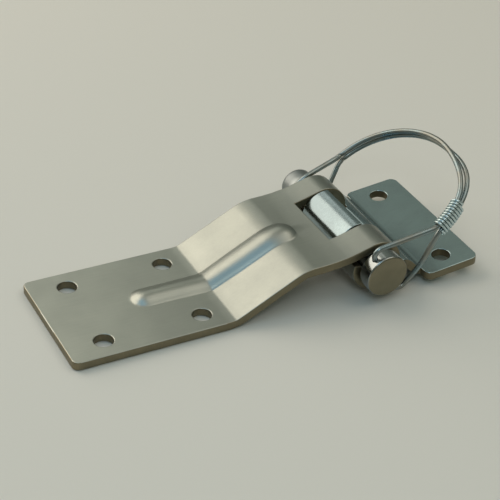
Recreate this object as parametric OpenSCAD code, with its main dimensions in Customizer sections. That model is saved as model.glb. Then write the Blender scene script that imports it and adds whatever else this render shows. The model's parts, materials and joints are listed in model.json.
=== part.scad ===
// Cranked hasp leaf and small staple leaf, hinged on a removable pin that a sprung wire bail locks.
// Origin: middle of the hasp leaf's four holes, on the face that lies on the door.
// +X runs along the hasp to the small leaf, +Y along the pin to its tail, +Z away from the door.

/* [Plates] */
// Thickness of both leaves
plate_t = 4; // [3:0.1:5]
// Diameter of every screw hole
hole_d = 8.4; // [6:0.1:9]

/* [Hasp leaf] */
// Width of the hasp leaf
hasp_w = 60; // [54:1:80]
// Length of the lower flat, from its free end to the corner of the crank
hasp_flat = 74; // [70:0.5:76]
// Height that the crank lifts the plate
crank_rise = 16.8; // [16.5:0.1:17.8]
// Slope of the crank
crank_angle = 27.5; // [25:0.5:30]
// Slope of the deck over the crank, towards the knuckles
deck_slope = 2; // [1:0.5:5]
// Inner radius of the crank's two bends
crank_bend_r = 18; // [6:0.5:20]
// Rounding of the free end's corners
hasp_corner_r = 3; // [1:0.5:6]
// Distance from the free end to the first pair of holes
hasp_hole_end = 17; // [14:0.5:20]
// Spacing of the hasp's holes along its length
hasp_hole_dx = 45; // [40:0.5:46]
// Spacing of the hasp's holes across its width
hasp_hole_dy = 40; // [34:0.5:44]

/* [Pressed bead] */
// Width of the bead
bead_w = 13.5; // [8:0.5:16]
// Height of the bead above the plate
bead_h = 2.6; // [1:0.1:3]
// Distance from the free end to the start of the bead
bead_start = 38.5; // [34:0.5:46]
// Length of the bead, measured along the plate
bead_len = 82; // [70:0.5:84]

/* [Hinge] */
// Diameter of the hinge pin
pin_d = 15.8; // [15:0.1:16.4]
// Clearance round the pin in the rolled knuckles
pin_clear = 0.1; // [0.05:0.01:0.1]
// Distance from the hasp's free end to the pin axis
hinge_reach = 142.2; // [139:0.1:146]
// Height of the pin axis above the mounting plane
axis_h = 14; // [13.6:0.1:14.6]
// Slope of the plate where it rises into the hasp's knuckles
knuckle_rise = 16; // [14:0.5:17]
// Inner radius of the bend before that slope
knuckle_bend_r = 68; // [30:1:76]
// Angle through which the hasp's knuckles are rolled
hasp_roll = 298; // [250:1:301]
// Width of the window between the hasp's knuckles
window_w = 31; // [24:0.5:34]
// How far the window lies off the hasp's middle, towards the tail
window_off = 1.5; // [-2:0.1:2]
// Distance from the window's edge to the pin axis
window_reach = 15.6; // [15:0.1:18]

/* [Staple leaf] */
// Width of the staple leaf's flat
staple_w = 72; // [66:1:90]
// Width of its cranked shoulder
shoulder_w = 60; // [50:1:62]
// Distance from the pin axis to the free edge
staple_reach = 50.4; // [48:0.1:60]
// Distance from the pin axis to where the flat widens
wide_reach = 22.8; // [21:0.1:25]
// Clearance between the shoulder's end and the hasp's knuckles
shoulder_gap = 0.8; // [0.5:0.1:1.5]
// Rounding of the flat's corners
staple_corner_r = 3.5; // [1:0.5:8]
// Distance from the pin axis to the two holes
staple_hole_x = 36.1; // [34:0.1:38]
// Spacing of the two holes
staple_hole_dy = 53.2; // [48:0.1:56]
// Clearance at each side of the centre knuckle in the window
tongue_gap = 0.5; // [0.4:0.1:1.5]
// Angle below level at which the plate leaves the centre knuckle
tuck_angle = 50; // [45:1:55]
// Straight stretch between the centre knuckle and the ridge
tuck_len = 4; // [3:0.1:5]
// Inner radius of the bend at the ridge
ridge_bend_r = 3; // [2:0.1:3.5]
// Slope of the plate between the ridge and the flat
staple_slope = 50; // [45:1:55]
// Inner radius of the bend into the flat
staple_bend_r = 4; // [2:0.5:5]
// Angle at which the centre knuckle's free end stops, from level
tongue_end = 80; // [75:1:100]
// Lift of the staple leaf above level, as it rests
staple_lift = 6.3; // [0:0.1:12]

/* [Locking pin] */
// Diameter of the head
head_d = 20; // [17.5:0.1:22]
// Length of the head
head_len = 7.4; // [6:0.1:12]
// Bevel round the head's face
head_bevel_w = 0.8; // [0.2:0.1:1.5]
// Gap between the head and the near knuckle
head_gap = 1.6; // [0.5:0.1:3]
// Length of the tail past the far knuckle
tail_len = 14.6; // [13:0.1:24]
// Length of the taper at the tail's tip
tip_len = 2.6; // [1:0.1:4]
// Diameter of the flat at the tail's tip
tip_d = 11; // [6:0.1:14]

/* [Wire bail] */
// Diameter of the bail's spring wire
wire_d = 2.4; // [1.8:0.1:3]
// Lean of the bail from upright, over the staple leaf
bail_lean = 56; // [45:1:66]
// Height of the arch's centre over the pin axis, in the bail's plane
bail_rise = 23.5; // [20:0.1:35]
// How far the arch swells on the head's side
bail_swell = 2.2; // [0:0.1:3]
// Clearance of the wire in the head's cross hole
wire_clear = 0.1; // [0.05:0.01:0.1]
// Length of each wire end inside the head
wire_grip = 7.5; // [5:0.1:8]
// Distance that the wire stands out of the head before it turns
wire_stand = 5.2; // [3:0.1:6]
// Radius of that turn, on the wire's middle
wire_turn_r = 3.6; // [2.4:0.1:4]
// Gap between the two strands
strand_gap = 0.5; // [0.45:0.01:1]
// How far one strand bows outwards between the head and the binding
strand_bow = 3; // [1:0.1:4]
// How far the strands spread past the binding, along the arch's radius
strand_spread = 2.3; // [0:0.1:3]
// Clearance between the loop and the tail
loop_clear = 0.3; // [0.2:0.1:1]
// Distance of the arch's foot from the far knuckle's end
loop_out = 6.8; // [6.2:0.1:9]
// How far the loop sits inside the arch's foot, towards the knuckle
loop_in = 4.4; // [0:0.1:5]
// Length of the strands below the arch before they part for the loop
split_drop = 1.6; // [1.2:0.1:3]

/* [Binding] */
// Diameter of the binding wire
bind_d = 1; // [0.7:0.05:1.2]
// Number of turns
bind_turns = 9; // [5:1:12]
// Distance from one turn to the next
bind_pitch = 1.48; // [1.45:0.01:1.7]
// Clearance between the binding and the strands
bind_clear = 0.15; // [0.1:0.01:0.3]
// Angle along the bail's arch at which the binding starts
bind_start = 11; // [9:0.5:16]

/* [Hidden] */
$fn = 96;
cut = 100;
ORIGIN = [0, 0, 0];

hasp_end_x = -hasp_hole_end - hasp_hole_dx / 2;
axis_x = hasp_end_x + hinge_reach;
bore_r = pin_d / 2 + pin_clear;
roll_mid_r = bore_r + plate_t / 2;
roll_r = bore_r + plate_t;

// Runs of the hasp's profile: [length, turn in degrees, radius of the middle line, spare inside the bend]
drill_spare = 0.4;
crank_mid_r = crank_bend_r + plate_t / 2;
lead_mid_r = knuckle_bend_r + plate_t / 2;
lower_tan = crank_mid_r * tan(crank_angle / 2);
upper_tan = crank_mid_r * tan((crank_angle - deck_slope) / 2);
lead_turn = knuckle_rise - deck_slope;
lead_tan = lead_mid_r * tan(lead_turn / 2);
top_x = hasp_end_x + hasp_flat + crank_rise / tan(crank_angle);
to_roll_x = axis_x - roll_mid_r * sin(knuckle_rise) - top_x;
to_roll_z = axis_h + roll_mid_r * cos(knuckle_rise) - plate_t / 2 - crank_rise;
deck_reach = (to_roll_x * sin(knuckle_rise) - to_roll_z * cos(knuckle_rise)) / sin(lead_turn);
lead_reach = (to_roll_z * cos(deck_slope) - to_roll_x * sin(deck_slope)) / sin(lead_turn);
hasp_runs = [
    [hasp_flat - lower_tan, crank_angle, crank_mid_r, 0],
    [crank_rise / sin(crank_angle) - lower_tan - upper_tan, deck_slope - crank_angle, crank_mid_r, 0],
    [deck_reach - upper_tan - lead_tan, lead_turn, lead_mid_r, 0],
    [lead_reach - lead_tan, -hasp_roll, roll_mid_r, drill_spare]
];
echo(least_straight_run_of_the_hasp = min([for (r = hasp_runs) r[0]]));

// Runs of the staple's profile, from the centre knuckle's free end to the free edge
ridge_mid_r = ridge_bend_r + plate_t / 2;
foot_mid_r = staple_bend_r + plate_t / 2;
tuck_slope = 90 - tuck_angle;
staple_wrap = 360 - tuck_angle - tongue_end;
ridge_x = roll_mid_r * cos(tuck_angle) + tuck_len * cos(tuck_slope) + ridge_mid_r * sin(tuck_slope);
ridge_z = tuck_len * sin(tuck_slope) - roll_mid_r * sin(tuck_angle) - ridge_mid_r * cos(tuck_slope);
slope_drop = ridge_z + ridge_mid_r * cos(staple_slope) + axis_h - plate_t / 2;
slope_len = (slope_drop - foot_mid_r * (1 - cos(staple_slope))) / sin(staple_slope);
flat_start = ridge_x + (ridge_mid_r + foot_mid_r) * sin(staple_slope) + slope_len * cos(staple_slope);
staple_runs = [
    [0, staple_wrap, roll_mid_r, drill_spare],
    [tuck_len, -tuck_slope - staple_slope, ridge_mid_r, 0],
    [slope_len, staple_slope, foot_mid_r, 0],
    [staple_reach - flat_start, 0, foot_mid_r, 0]
];
tongue_first = [roll_mid_r * cos(tongue_end), roll_mid_r * sin(tongue_end), tongue_end + 90];
shoulder_x = roll_r + shoulder_gap;
tongue_w = window_w - 2 * tongue_gap;

// Places along the pin
head_back = -hasp_w / 2 - head_gap;
head_face = head_back - head_len;
head_hole_y = (head_back + head_face) / 2;
tail_tip = hasp_w / 2 + tail_len;
foot_y = hasp_w / 2 + loop_out;
loop_y = foot_y - loop_in;

// The bail's arch is a half circle, seen in the bail's own plane
wire_r = wire_d / 2;
strand_h = wire_r + strand_gap / 2;
arch_r = foot_y;
loop_r = pin_d / 2 + loop_clear + wire_r;
stand_h = head_d / 2 + wire_stand;
join_angle = 10;
join_r = 9;
bow_r = 30;
bind_turn_angle = bind_pitch / arch_r * 180 / PI;
spread_start = bind_start + bind_turns * bind_turn_angle - 7;
spread_end = 95;

// The plate's middle line: [x, z, heading] at the distance s along the runs
function turned(p, turn, r) =
    let (side = sign(turn), a = abs(turn), h = p[2])
    [
        p[0] + r * (side * sin(h + side * a) - side * sin(h)),
        p[1] - r * (side * cos(h + side * a) - side * cos(h)),
        h + side * a
    ];
function moved(p, d) = [p[0] + d * cos(p[2]), p[1] + d * sin(p[2]), p[2]];
function at(runs, s, p, i = 0) =
    i >= len(runs) || s <= runs[i][0] ? moved(p, s) :
    let (
        q = moved(p, runs[i][0]),
        rest = s - runs[i][0],
        arc = abs(runs[i][1]) * runs[i][2] * PI / 180
    )
    rest <= arc ? turned(q, sign(runs[i][1]) * rest / runs[i][2] * 180 / PI, runs[i][2]) :
    at(runs, rest - arc, turned(q, runs[i][1], runs[i][2]), i + 1);

function unit(v) = v / norm(v);

// A corner p between a and b, rounded by an arc of radius r in n steps
function fillet(a, p, b, r, n) =
    let (
        u = unit(p - a),
        v = unit(b - p),
        turn = acos(u * v),
        inward = unit(v - u),
        along = unit(u + v),
        middle = p + inward * r / cos(turn / 2)
    )
    [for (i = [0 : n]) let (f = turn * (i / n - 1 / 2)) middle + r * (along * sin(f) - inward * cos(f))];

// Directions along a path, and side vectors that turn with it as little as they can
function tangents(path) =
    let (last = len(path) - 1)
    [for (i = [0 : last]) unit(path[min(i + 1, last)] - path[max(i - 1, 0)])];
function square_to(v, t) = unit(v - (v * t) * t);
function sides_along(tan_list, first) =
    [for (i = 0, v = square_to(first, tan_list[0]); i < len(tan_list);
        i = i + 1, v = i < len(tan_list) ? square_to(v, tan_list[i]) : v) v];

// A closed skin over rings of equal length, flat at both ends
module skin(rings) {
    count = len(rings[0]);
    last = len(rings) - 1;
    points = [for (ring = rings) each ring];
    walls = [for (i = [0 : last - 1]) for (j = [0 : count - 1])
        let (a = i * count + j, b = i * count + (j + 1) % count)
        each [[a, b, b + count], [a, b + count, a + count]]];
    near = [for (j = [1 : count - 2]) [0, j + 1, j]];
    far = [for (j = [1 : count - 2]) [last * count, last * count + j, last * count + j + 1]];
    polyhedron(points, concat(walls, near, far));
}

// A round wire of diameter d with the given number of sides along a path
module wire(path, d, sides, first) {
    tan_list = tangents(path);
    side_list = sides_along(tan_list, first);
    skin([for (i = [0 : len(path) - 1])
        let (v = side_list[i], w = cross(tan_list[i], v))
        [for (k = [0 : sides - 1]) path[i] + d / 2 * (v * cos(360 * k / sides) + w * sin(360 * k / sides))]]);
}

// The plate's middle line as [x, z, heading, spare], in steps of a few degrees round each bend
bend_step = 5;
function bends(runs, p, i = 0) =
    i >= len(runs) ? [] :
    let (
        run = runs[i],
        spare = sign(run[1]) * run[3],
        steps = ceil(abs(run[1]) / bend_step),
        q = moved(p, run[0]),
        curve = [for (k = [1 : 1 : steps]) concat(turned(q, run[1] * k / steps, run[2]), spare)]
    )
    concat([concat(q, spare)], curve, bends(runs, steps > 0 ? turned(q, run[1], run[2]) : q, i + 1));

// A point at the distance d to the left of the middle line
function beside(p, d) = [p[0] - d * sin(p[2]), p[1] + d * cos(p[2])];

// A plate of width w bent along its runs; the spare on the inside of a roll is left for the drill
module bent_plate(runs, p, w) {
    line = concat(runs[0][0] > 0 ? [concat(p, 0)] : [], bends(runs, p));
    last = len(line) - 1;
    left = [for (k = [0 : last]) beside(line[k], plate_t / 2 + max(line[k][3], 0))];
    right = [for (k = [last : -1 : 0]) beside(line[k], min(line[k][3], 0) - plate_t / 2)];
    rotate([90, 0, 0])
        linear_extrude(height = w, center = true)
            polygon(concat(left, right));
}

// The hole for the pin, across the whole width
module bore() {
    rotate([90, 0, 0])
        cylinder(h = 2 * cut, r = bore_r, center = true);
}

module screw_hole(x, y) {
    translate([x, y, -cut])
        cylinder(h = 2 * cut, d = hole_d);
}

// One ring of the bead: a low crown of half width hw and height hh over the base line
function bead_ring(s, hw, hh, base, floor_z, n = 10) =
    let (p = at(hasp_runs, s, [hasp_end_x, plate_t / 2, 0]))
    [for (q = concat([[-hw, floor_z]],
            [for (k = [0 : n]) let (f = 2 * k / n - 1) [f * hw, base + hh * pow(cos(90 * f), 1.2)]],
            [[hw, floor_z]]))
        [p[0] - q[1] * sin(p[2]), q[0], p[1] + q[1] * cos(p[2])]];

// The bead's round ends: how far the crown has grown at the distance s
function bead_grow(s, w) =
    let (d = min(s - bead_start, bead_start + bead_len - s) / (w / 2))
    d >= 1 ? 1 : sqrt(max(0.02, 1 - pow(1 - d, 2)));

bead_steps = 36;
module bead(w, h, base, floor_z) {
    inset = (bead_w - w) / 2;
    skin([for (i = [0 : bead_steps])
        let (
            s = bead_start + inset + (bead_len - 2 * inset) * (1 - cos(180 * i / bead_steps)) / 2,
            g = bead_grow(s, bead_w)
        )
        bead_ring(s, w / 2 * g, h * g, base, floor_z)]);
}

// What is cut from a square corner at the origin to round it, towards +X and +Y
module corner_waste(r) {
    difference() {
        translate([-1, -1])
            square(r + 1);
        translate([r, r])
            circle(r = r);
    }
}

// The hasp's outline from above, with the window between its knuckles
module hasp_outline() {
    difference() {
        translate([hasp_end_x, -hasp_w / 2])
            square([hinge_reach + 2 * roll_r, hasp_w]);
        for (y = [-1, 1])
            translate([hasp_end_x, y * hasp_w / 2])
                scale([1, -y])
                    corner_waste(hasp_corner_r);
        translate([axis_x - window_reach, window_off - window_w / 2])
            square([cut, window_w]);
    }
}

bead_sink = 0.4;
module hasp_leaf() {
    color("silver")
        difference() {
            union() {
                intersection() {
                    bent_plate(hasp_runs, [hasp_end_x, plate_t / 2, 0], hasp_w + plate_t);
                    translate([0, 0, -cut])
                        linear_extrude(height = 2 * cut)
                            hasp_outline();
                }
                bead(bead_w, bead_h + bead_sink, plate_t / 2 - bead_sink, 0);
            }
            bead(bead_w - plate_t, bead_h, -plate_t / 2 - bead_sink, -plate_t);
            for (x = [-1, 1], y = [-1, 1])
                screw_hole(x * hasp_hole_dx / 2, y * hasp_hole_dy / 2);
            translate([axis_x, 0, axis_h])
                bore();
        }
}

// The staple's outline from above, lying level
module staple_outline() {
    translate([-cut, window_off - tongue_w / 2])
        square([cut + shoulder_x + plate_t, tongue_w]);
    translate([shoulder_x, -shoulder_w / 2])
        square([wide_reach - shoulder_x + plate_t, shoulder_w]);
    difference() {
        translate([wide_reach, -staple_w / 2])
            square([staple_reach - wide_reach, staple_w]);
        for (x = [0, 1], y = [-1, 1])
            translate([x == 0 ? wide_reach : staple_reach, y * staple_w / 2])
                scale([x == 0 ? 1 : -1, -y])
                    corner_waste(staple_corner_r);
    }
}

module staple_leaf() {
    color("lightsteelblue")
        translate([axis_x, 0, axis_h])
            rotate([0, -staple_lift, 0])
                difference() {
                    intersection() {
                        bent_plate(staple_runs, tongue_first, staple_w + plate_t);
                        translate([0, 0, -cut])
                            linear_extrude(height = 2 * cut)
                                staple_outline();
                    }
                    for (y = [-1, 1])
                        screw_hole(staple_hole_x, y * staple_hole_dy / 2);
                    bore();
                }
}

// Turns along +Y from the pin axis
module on_pin_axis(y) {
    translate([axis_x, y, axis_h])
        rotate([-90, 0, 0])
            children();
}

// The bail's plane: +X across the strands, +Y along the pin, +Z to the arch
module in_bail_plane() {
    translate([axis_x, 0, axis_h])
        rotate([0, bail_lean, 0])
            children();
}

module locking_pin() {
    color("gainsboro")
        difference() {
            union() {
                on_pin_axis(head_face)
                    cylinder(h = head_bevel_w, d1 = head_d - 2 * head_bevel_w, d2 = head_d);
                on_pin_axis(head_face + head_bevel_w)
                    cylinder(h = head_len - head_bevel_w, d = head_d);
                on_pin_axis(head_back)
                    cylinder(h = tail_tip - tip_len - head_back, d = pin_d);
                on_pin_axis(tail_tip - tip_len)
                    cylinder(h = tip_len, d1 = pin_d, d2 = tip_d);
            }
            in_bail_plane()
                translate([0, head_hole_y, 0])
                    rotate([0, 90, 0])
                        cylinder(h = 2 * head_d, d = wire_d + 2 * wire_clear, center = true);
        }
}

// Points of the arch at the angle a, counted from its foot on the head's side
function arch_out(a) = arch_r + (a < 90 ? bail_swell * pow(sin(2 * a), 2) : 0);
function arch_way(a) = [0, -cos(a), sin(a)];
function arch(a, h) = [h, 0, bail_rise] + arch_out(a) * arch_way(a);

// Past the binding one strand runs outside the arch and the other inside it
function spread(a) =
    a < spread_start || a > spread_end ? 0 :
    strand_spread / 2 * pow(sin(180 * (a - spread_start) / (spread_end - spread_start)), 2);
function on_strand(a, side) = arch(a, side * strand_h) + side * spread(a) * arch_way(a);

// One strand, from its end in the head to the middle of the loop round the tail
function strand(side) =
    let (
        wire_end = [side * (head_d / 2 - wire_grip), head_hole_y, 0],
        turn_out = [side * stand_h, head_hole_y, 0],
        join = on_strand(join_angle, side),
        bow = (turn_out + join) / 2 + [strand_bow, 0, 0],
        after_join = on_strand(join_angle + 8, side),
        arch_end = on_strand(180, side),
        split = [side * strand_h, foot_y, bail_rise - split_drop],
        flank = [side * loop_r, loop_y, loop_r / 2],
        bowed = side > 0
    )
    concat(
        [wire_end],
        fillet(wire_end, turn_out, bowed ? bow : join, wire_turn_r, 8),
        bowed ? fillet(turn_out, bow, join, bow_r, 5) : [],
        fillet(bowed ? bow : turn_out, join, after_join, join_r, 4),
        [for (i = [2 : 34]) on_strand(join_angle + (180 - join_angle) * i / 34, side)],
        fillet(arch_end, split, flank, join_r, 4),
        fillet(split, flank, [side * loop_r, loop_y, -loop_r], join_r, 4),
        [for (i = [0 : 7]) [side * loop_r * cos(90 * i / 8), loop_y, -loop_r * sin(90 * i / 8)]]
    );
way_out = strand(1);
way_back = strand(-1);
bail_path = concat(way_out, [[0, loop_y, -loop_r]], [for (i = [len(way_back) - 1 : -1 : 0]) way_back[i]]);

module wire_bail() {
    color("slategray")
        in_bail_plane()
            wire(bail_path, wire_d, 8, [0, 1, 0]);
}

// The binding winds round both strands: a long oval that climbs the arch
bind_rings = 24;
bind_r = wire_r + bind_clear + bind_d / 2;
oval_flat = 2 * strand_h;
oval_bend = PI * bind_r;
oval_round = 2 * (oval_flat + oval_bend);
function oval(u) =
    let (
        half = u < 0.5 ? 1 : -1,
        d = (u < 0.5 ? u : u - 0.5) * oval_round,
        lead = oval_flat / 2,
        f = (d - lead) / oval_bend * 180
    )
    d <= lead ? half * [d, bind_r] :
    d <= lead + oval_bend ? half * [strand_h + bind_r * sin(f), bind_r * cos(f)] :
    half * [strand_h - (d - lead - oval_bend), -bind_r];
function bind_point(k) =
    let (
        a = bind_start + k / bind_rings * bind_turn_angle,
        o = oval(k / bind_rings - floor(k / bind_rings))
    )
    arch(a, o[0]) + o[1] * arch_way(a);
bind_turned = [for (k = [0 : bind_turns * bind_rings]) bind_point(k)];
bind_last = len(bind_turned) - 1;
bind_path = concat(
    [bind_turned[0] + bind_d * unit(bind_turned[0] - bind_turned[1])],
    bind_turned,
    [bind_turned[bind_last] + bind_d * unit(bind_turned[bind_last] - bind_turned[bind_last - 1])]
);
bind_gap = min([for (i = [0 : bind_last]) for (j = [i + bind_rings / 2 : bind_last])
    norm(bind_turned[i] - bind_turned[j])]) - bind_d;
echo(least_gap_between_turns_of_the_binding = bind_gap);

module bail_binding() {
    color("lightslategray")
        in_bail_plane()
            wire(bind_path, bind_d, 6, [0, 1, 0]);
}

hasp_leaf();
staple_leaf();
locking_pin();
wire_bail();
bail_binding();
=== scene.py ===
"""Looks of the hasp and staple.

Two bent zinc-plated leaves, a turned pin, a sprung wire bail and its binding, on a plain stage.
"""

import json
import math

import bmesh
import bpy
from mathutils import Matrix, Vector


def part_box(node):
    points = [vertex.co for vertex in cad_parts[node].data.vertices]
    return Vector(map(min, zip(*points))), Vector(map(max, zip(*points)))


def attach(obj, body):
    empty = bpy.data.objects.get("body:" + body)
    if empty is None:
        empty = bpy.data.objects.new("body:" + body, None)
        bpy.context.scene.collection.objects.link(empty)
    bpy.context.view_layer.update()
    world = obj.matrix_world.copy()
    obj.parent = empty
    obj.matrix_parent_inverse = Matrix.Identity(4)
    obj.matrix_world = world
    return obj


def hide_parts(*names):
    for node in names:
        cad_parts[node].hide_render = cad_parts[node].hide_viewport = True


bl_info = {
    "name": "Hasp and staple",
    "version": (1, 0, 0),
    "blender": (4, 5, 0),
    "location": "View3D > Sidebar > Hasp",
    "description": "Models and finishes the pieces of a hasp and staple around its solids",
    "category": "Object",
}

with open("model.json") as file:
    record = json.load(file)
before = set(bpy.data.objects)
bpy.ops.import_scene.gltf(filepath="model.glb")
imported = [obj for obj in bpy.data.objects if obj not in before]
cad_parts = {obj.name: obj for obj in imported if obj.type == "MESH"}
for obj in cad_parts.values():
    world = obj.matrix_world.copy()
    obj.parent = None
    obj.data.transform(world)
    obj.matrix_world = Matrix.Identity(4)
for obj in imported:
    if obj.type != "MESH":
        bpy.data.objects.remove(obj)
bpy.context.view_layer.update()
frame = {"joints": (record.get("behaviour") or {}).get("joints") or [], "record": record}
hinge = next(j for j in frame["joints"] if j["name"] == "leaf_hinge")
AXIS_X, _, AXIS_Z = hinge["pos_m"]
LIFT = math.radians(-hinge["range_deg"][0])
HASP_LOW, HASP_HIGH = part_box("hasp_leaf")
PIN_LOW, PIN_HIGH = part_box("locking_pin")
mounts = {m["name"]: m for m in frame["record"]["mounts"]}
HASP_HOLES = mounts["hasp_holes"]["dims"]
STAPLE_HOLES = mounts["staple_holes"]["dims"]
MM_PER_M = 1000

# Working distances, in metres
TOUCH = 1e-6  # places closer than this are one place
DOUBLES = 1e-7  # points closer than this are merged
DRILL = 0.03  # length of the drills for the leaves' holes
FLAT_WITHIN = math.radians(0.15)  # neighbouring faces closer than this are one plane
SHEARED_BELOW = 0.5  # 1 is a side along the plate, 0 a side across it; below this it is sheared

# Hasp leaf
BEAD_LEAD = 0.0015  # the finely divided part starts this far ahead of the bead
BEAD_ROWS = 13  # rows of faces on each side of the bead's middle
BEAD_BAND = 1.05  # half the band that the rows cover, over the bead's mean half width
BEAD_MARGIN = 0.0006  # one more row, this far outside the band
BEAD_NARROW = 0.92  # the bead's width where it starts, over its mean width
BEAD_GAIN = 0.12  # how much of that mean it gains along its length
BEAD_GAIN_RATE = 2.5  # how fast it gains, over a gain along its whole length
BEAD_GAIN_DELAY = 0.6  # how late the gain starts, in the same measure
BEAD_CROWN = 2.2  # power of the bead's section, where 2 would be a parabola
BEAD_CLEAR = 0.004  # the pressing stops this far ahead of the window
CREASE_SHARP = 0.6  # 1 is a sharp crease on the hollow side of a bend, 0 a plain round
CREASE_KEEP = 0.0016  # faces closer than this to a crease stay divided

# Staple leaf
TRIM_SPARE = 0.004  # width of the strip over the finished leaf
TRIM_REACH = 0.03  # how far the trimming prism reaches past the pin axis, up, down and back
NOTCH_R = 0.0008  # hollow corner where the flat widens
SHOULDER_R = 0.002  # outer corner of the shoulder
THROAT_R = 0.0012  # hollow corner beside the centre knuckle
LARGE_CORNER = 0.003  # corners rounder than this get more steps
TRIM_MERGE = 0.0003  # points closer than this are merged after trimming
# Painted shade: the staple leaf's plate is painted darker from this distance in towards the pin
# axis
COOL_BRIGHT_FROM = 0.035  # its plating is brightest from here on, away from the pin axis

# Locking pin
PIN_SIDES = 100
HEAD_BACK_EDGE = 0.0005  # rounding of the head's back
RIM_WITHIN = 3e-5  # an edge's middle lies this close to its rim's radius
HOLE_PLAY = 0.0001  # room round the wire in the head's cross hole
HOLE_DRILL = 0.06  # length of the drill for the cross hole
HOLE_EDGE = 0.0001  # rounding of the cross hole's rims
# The faced finish also carries the head face's painted reflection
FACE_SKIN = (0.0006, 0.0002)  # depths in the head between which the faced finish sets in
TAIL_WEAR = (0.011, 0.006)  # distances from the tip between which the dull tail sets in

# Bail and binding
JOIN = math.radians(10)  # angle along the arch at which the strands come together
JOIN_AIM = math.radians(8)  # the strands aim this much further along the arch
BLEND_R = 0.009  # radius of the easy bends
BOW_R = 0.030  # radius of the outer strand's bow
ARCH_STEPS = 64
ARCH_FIRST = 4  # step at which the arch takes over from the bend at the join
LOOP_STEPS = 16  # for a quarter of the loop
BIND_SLACK = 0.00025  # room between the strands and the binding
BIND_STEPS = 48  # for one turn


def length(name, default, description):
    return bpy.props.FloatProperty(
        name=name, default=default, description=description, unit="LENGTH", precision=5
    )


def angle(name, degrees, description):
    return bpy.props.FloatProperty(
        name=name, default=math.radians(degrees), description=description, subtype="ANGLE"
    )


def tint(name, default, description):
    return bpy.props.FloatVectorProperty(
        name=name, default=default, description=description, subtype="COLOR", size=3, min=0, max=1
    )


class HaspSizes(bpy.types.PropertyGroup):
    """Sizes of the hasp leaf and of what both leaves share"""

    plate: length("Plate", 0.004, "Thickness of both leaves")
    edge: length("Edge rounding", 0.00055, "Rounding along the hasp leaf's edges")
    flat: length("Lower flat", 0.074, "From the free end to the corner of the crank")
    rise: length("Crank rise", 0.0168, "Height that the crank lifts the plate")
    slope: angle("Crank slope", 27.5, "Slope of the crank")
    crank_r: length("Crank bend", 0.020, "Radius of the crank's bends, on the plate's middle")
    deck_slope: angle("Deck slope", 2, "Slope of the deck behind the crank")
    lead_slope: angle("Knuckle slope", 16, "Slope of the plate where it rises into the knuckles")
    lead_r: length("Knuckle bend", 0.070, "Radius of the bend before it, on the plate's middle")
    roll_r: length("Roll", 0.010, "Radius of the rolled knuckles, on the plate's middle")
    roll: angle("Roll angle", 298, "Angle through which the knuckles are rolled")
    window: length("Window", 0.031, "Width of the window between the knuckles")
    window_off: length("Window offset", 0.0015, "From the leaf's middle to the window's")
    window_reach: length("Window reach", 0.0156, "From the window's edge to the pin axis")
    corner: length("Corner rounding", 0.003, "Rounding of the free end's corners")
    bead_start: length("Bead start", 0.0385, "From the free end to the bead, along the plate")
    bead_length: length("Bead length", 0.082, "Length of the bead along the plate")
    bead_half: length("Bead half width", 0.00675, "Half the bead's mean width")
    bead_rise: length("Bead rise", 0.0026, "Height of the bead over the plate")


class StapleSizes(bpy.types.PropertyGroup):
    """Sizes of the staple leaf, measured from the pin axis while it lies level"""

    width: length("Width", 0.072, "Width of the flat")
    shoulder: length("Shoulder width", 0.060, "Width of the cranked shoulder")
    tongue: length("Tongue width", 0.030, "Width of the centre knuckle")
    reach: length("Reach", 0.0504, "From the pin axis to the free edge")
    wide: length("Wide from", 0.0228, "From the pin axis to where the flat widens")
    shoulder_from: length("Shoulder from", 0.0128, "From the pin axis to the shoulder's end")
    corner: length("Corner rounding", 0.0035, "Rounding of the flat's corners")
    edge: length("Edge rounding", 0.0003, "Rounding along the plate's edges")
    hole_reach: length("Hole reach", 0.0361, "From the pin axis to the two holes")
    tuck: angle("Tuck", 50, "Angle below level at which the plate leaves the centre knuckle")
    tuck_run: length("Tuck run", 0.004, "Straight stretch between the knuckle and the ridge")
    ridge_r: length("Ridge bend", 0.005, "Radius of the ridge, on the plate's middle")
    slope: angle("Slope", 50, "Slope of the plate between the ridge and the flat")
    foot_r: length("Foot bend", 0.006, "Radius of the bend into the flat, on the plate's middle")
    end: angle("Knuckle end", 80, "Angle at which the centre knuckle's free end stops")


class PinSizes(bpy.types.PropertyGroup):
    """Sizes of the pin, the bail and the binding"""

    shank_r: length("Shank radius", 0.0079, "Radius of the shank")
    head_r: length("Head radius", 0.010, "Radius of the head")
    head: length("Head length", 0.0074, "Length of the head")
    head_edge: length("Head edge", 0.0010, "Rounding of the head's face")
    tip_edge: length("Tip rounding", 0.0030, "Rounding of the tail's tip")
    wire_r: length("Wire radius", 0.0012, "Radius of the bail's wire")
    lean: angle("Lean", 56, "Lean of the bail from upright")
    arch_rise: length("Arch rise", 0.0235, "Height of the arch's centre over the pin axis")
    arch_r: length("Arch radius", 0.0368, "Radius of the arch")
    swell: length("Arch swell", 0.0022, "How far the arch swells on the head's side")
    strand: length("Strand offset", 0.00145, "Half the distance between the two strands")
    spread: length("Spread", 0.0023, "How far the strands stand apart past the binding")
    spread_from: angle("Spread from", 24.7, "Angle along the arch where the strands start to part")
    spread_to: angle("Spread to", 95, "Angle along the arch at which they meet again")
    grip: length("Grip", 0.0075, "Length of each wire end inside the head")
    stand: length("Stand", 0.0152, "How far the wire stands out sideways at the head")
    turn_r: length("Turn radius", 0.0036, "Radius of the wire's turn at the head")
    bow: length("Bow", 0.003, "How far the outer strand bows between the head and the binding")
    loop_r: length("Loop radius", 0.0094, "Radius of the loop round the tail")
    loop_y: length("Loop place", 0.0324, "Place of the loop along the pin")
    split: length("Split", 0.0016, "Length below the arch before the strands part")
    bind_r: length("Binding wire radius", 0.00066, "Radius of the binding's wire")
    bind_pitch: length("Binding pitch", 0.00138, "Distance from one turn to the next")
    bind_turns: bpy.props.IntProperty(
        name="Binding turns", default=10, description="Number of turns of the binding"
    )
    bind_from: angle("Binding from", 11, "Angle along the arch at which the binding starts")


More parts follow.
